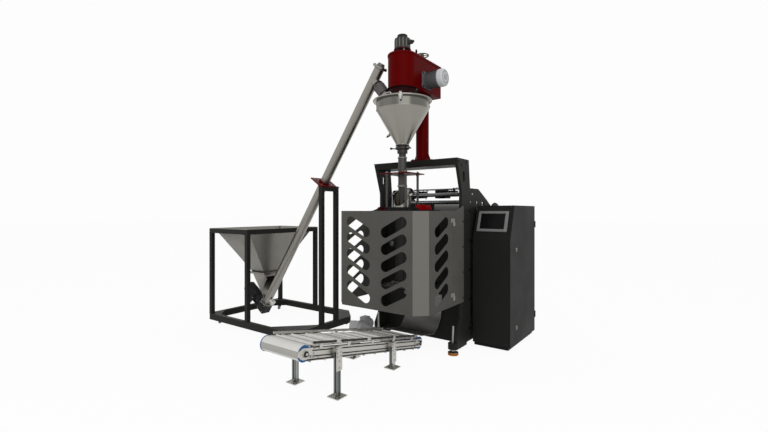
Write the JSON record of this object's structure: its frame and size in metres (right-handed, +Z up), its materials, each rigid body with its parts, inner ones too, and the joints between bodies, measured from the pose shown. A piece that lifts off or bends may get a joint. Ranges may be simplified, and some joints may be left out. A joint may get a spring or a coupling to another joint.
{
  "type": "auger powder filler",
  "caption": "Vertical auger powder filling and bagging machine with cone hopper, slotted guard, control cabinet, inclined screw feeder cart and take-away belt.",
  "frame": {"origin": "middle of the footprint, on the floor", "axes": "+Z up, +X to the machine's right, +Y to its back"},
  "size_m": [3.679, 3.1202, 3.381],
  "materials": {
    "red_paint": "satin red paint",
    "black_paint": "fine-textured black powder coat",
    "guard_paint": "grey powder coat",
    "stainless": "brushed stainless steel",
    "steel": "machined steel",
    "motor_grey": "painted cast housing",
    "motor_dark": "dark cast housing",
    "rubber": "black rubber",
    "belt_white": "coated belt fabric",
    "film": "wound film",
    "panel_grey": "moulded bezel",
    "caster_grey": "grey caster tread",
    "foot_orange": "moulded orange-brown pads on steel stems"
  },
  "bodies": {
    "frame": {"side_plate_left": "black_paint", "side_plate_right": "black_paint", "arch_beam": "black_paint", "lower_body": "black_paint", "levelling_feet": "foot_orange", "support_column": "red_paint", "head_housing": "red_paint", "auger_motor": "motor_grey", "agitator_motor": "motor_grey", "agitator_belt": "rubber", "hopper": "stainless", "hopper_lid": "stainless", "hopper_clamp": "stainless", "auger_tube": "stainless", "tube_stand": "red_paint", "forming_deck": "red_paint", "forming_tube": "stainless", "forming_shoulder": "stainless", "guard_side_left": "guard_paint", "guard_side_right": "guard_paint", "film_carriage_left": "black_paint", "film_carriage_right": "black_paint", "film_coder": "motor_dark", "discharge_chute": "stainless", "control_cabinet": "black_paint", "touch_panel": "panel_grey", "cart_frame": "black_paint", "feed_hopper": "stainless", "screw_tube": "stainless", "feeder_gearmotor": "motor_dark", "feeder_spout": "stainless", "fixed_forks": "steel", "conveyor_frame": "stainless", "conveyor_belt": "belt_white", "conveyor_gearmotor": "motor_grey"},
    "auger": {"auger": "stainless"},
    "agitator": {"agitator": "stainless"},
    "agitator_drive_pulley": {"agitator_drive_pulley": "steel"},
    "lift_handwheel": {"lift_handwheel": "steel"},
    "guard_door": {"guard_door": "guard_paint"},
    "cabinet_door": {"cabinet_door": "black_paint"},
    "upper_latch": {"upper_latch": "stainless"},
    "lower_latch": {"lower_latch": "stainless"},
    "front_jaw": {"front_jaw": "steel"},
    "rear_jaw": {"rear_jaw": "steel"},
    "pull_roller_left": {"pull_roller_left": "rubber"},
    "pull_roller_right": {"pull_roller_right": "rubber"},
    "upper_film_roller": {"upper_film_roller": "stainless"},
    "lower_film_roller": {"lower_film_roller": "stainless"},
    "film_reel": {"film_reel": "film"},
    "feed_screw": {"feed_screw": "stainless"},
    "shutter_gate": {"shutter_gate": "stainless"},
    "swivel_fork_front": {"swivel_fork_front": "steel"},
    "swivel_fork_back": {"swivel_fork_back": "steel"},
    "caster_wheel_left_front": {"caster_wheel_left_front": "caster_grey"},
    "caster_wheel_left_back": {"caster_wheel_left_back": "caster_grey"},
    "caster_wheel_right_front": {"caster_wheel_right_front": "caster_grey"},
    "caster_wheel_right_back": {"caster_wheel_right_back": "caster_grey"},
    "drive_drum": {"drive_drum": "steel"},
    "tail_drum": {"tail_drum": "steel"}
  },
  "joints": [
    {"name": "auger_spin", "type": "hinge", "parent": "frame", "child": "auger", "pos_m": [0.8605, 0.0601, 3], "axis": [0, 0, 1], "continuous": true},
    {"name": "agitator_spin", "type": "hinge", "parent": "frame", "child": "agitator", "pos_m": [0.8605, 0.0601, 3.06], "axis": [0, 0, 1], "continuous": true},
    {"name": "agitator_drive_spin", "type": "hinge", "parent": "frame", "child": "agitator_drive_pulley", "pos_m": [0.8605, 0.2941, 3.06], "axis": [0, 0, 1], "continuous": true},
    {"name": "lift_handwheel_spin", "type": "hinge", "parent": "frame", "child": "lift_handwheel", "pos_m": [0.8605, 0.4761, 3.286], "axis": [0, 0, 1], "continuous": true},
    {"name": "guard_door_swing", "type": "hinge", "parent": "frame", "child": "guard_door", "pos_m": [1.4115, 0.1711, 1], "axis": [0, 0, 1], "range_deg": [0, 100]},
    {"name": "cabinet_door_swing", "type": "hinge", "parent": "frame", "child": "cabinet_door", "pos_m": [1.8275, 1.5081, 0.8], "axis": [0, 0, 1], "range_deg": [0, 105]},
    {"name": "upper_latch_turn", "type": "hinge", "parent": "cabinet_door", "child": "upper_latch", "pos_m": [1.8275, 0.8341, 1.08], "axis": [1, 0, 0], "range_deg": [0, 90]},
    {"name": "lower_latch_turn", "type": "hinge", "parent": "cabinet_door", "child": "lower_latch", "pos_m": [1.8275, 0.8341, 0.236], "axis": [1, 0, 0], "range_deg": [0, 90]},
    {"name": "front_jaw_slide", "type": "slide", "parent": "frame", "child": "front_jaw", "axis": [0, 1, 0], "range_m": [0, 0.0595]},
    {"name": "rear_jaw_slide", "type": "slide", "parent": "frame", "child": "rear_jaw", "axis": [0, -1, 0], "range_m": [0, 0.0595]},
    {"name": "pull_roller_left_spin", "type": "hinge", "parent": "frame", "child": "pull_roller_left", "pos_m": [0.7465, 0.0601, 1.15], "axis": [0, 1, 0], "continuous": true},
    {"name": "pull_roller_right_spin", "type": "hinge", "parent": "frame", "child": "pull_roller_right", "pos_m": [0.9745, 0.0601, 1.15], "axis": [0, 1, 0], "continuous": true},
    {"name": "upper_film_roller_spin", "type": "hinge", "parent": "frame", "child": "upper_film_roller", "pos_m": [0.8605, 0.7101, 1.69], "axis": [1, 0, 0], "continuous": true},
    {"name": "lower_film_roller_spin", "type": "hinge", "parent": "frame", "child": "lower_film_roller", "pos_m": [0.8605, 0.6601, 1.6], "axis": [1, 0, 0], "continuous": true},
    {"name": "film_reel_spin", "type": "hinge", "parent": "frame", "child": "film_reel", "pos_m": [0.8605, 1.3601, 1.4], "axis": [1, 0, 0], "continuous": true},
    {"name": "feed_screw_spin", "type": "hinge", "parent": "frame", "child": "feed_screw", "pos_m": [-0.82496, 0.0601, 1.06541], "axis": [0.5645, 0, 0.8254], "continuous": true},
    {"name": "shutter_gate_slide", "type": "slide", "parent": "frame", "child": "shutter_gate", "axis": [-1, 0, 0], "range_m": [0, 0.24]},
    {"name": "swivel_fork_front_turn", "type": "hinge", "parent": "frame", "child": "swivel_fork_front", "pos_m": [-1.7145, -0.4399, 0.05], "axis": [0, 0, 1], "continuous": true},
    {"name": "swivel_fork_back_turn", "type": "hinge", "parent": "frame", "child": "swivel_fork_back", "pos_m": [-1.7145, 0.5601, 0.05], "axis": [0, 0, 1], "continuous": true},
    {"name": "caster_left_front_roll", "type": "hinge", "parent": "swivel_fork_front", "child": "caster_wheel_left_front", "pos_m": [-1.7305, -0.4399, 0.023], "axis": [0, 1, 0], "continuous": true},
    {"name": "caster_left_back_roll", "type": "hinge", "parent": "swivel_fork_back", "child": "caster_wheel_left_back", "pos_m": [-1.7305, 0.5601, 0.023], "axis": [0, 1, 0], "continuous": true},
    {"name": "caster_right_front_roll", "type": "hinge", "parent": "frame", "child": "caster_wheel_right_front", "pos_m": [-0.3295, -0.3999, 0.023], "axis": [0, 1, 0], "continuous": true},
    {"name": "caster_right_back_roll", "type": "hinge", "parent": "frame", "child": "caster_wheel_right_back", "pos_m": [-0.3295, 0.5201, 0.023], "axis": [0, 1, 0], "continuous": true},
    {"name": "drive_drum_spin", "type": "hinge", "parent": "frame", "child": "drive_drum", "pos_m": [0.7935, 0.1501, 0.096], "axis": [1, 0, 0], "continuous": true},
    {"name": "tail_drum_spin", "type": "hinge", "parent": "frame", "child": "tail_drum", "pos_m": [0.7935, -1.5001, 0.43174], "axis": [1, 0, 0], "continuous": true}
  ],
  "couplings": [
    {"joint": "agitator_drive_spin", "follows": "agitator_spin", "ratio": 1.8},
    {"joint": "rear_jaw_slide", "follows": "front_jaw_slide", "ratio": 1},
    {"joint": "pull_roller_right_spin", "follows": "pull_roller_left_spin", "ratio": -1},
    {"joint": "tail_drum_spin", "follows": "drive_drum_spin", "ratio": 1}
  ]
}
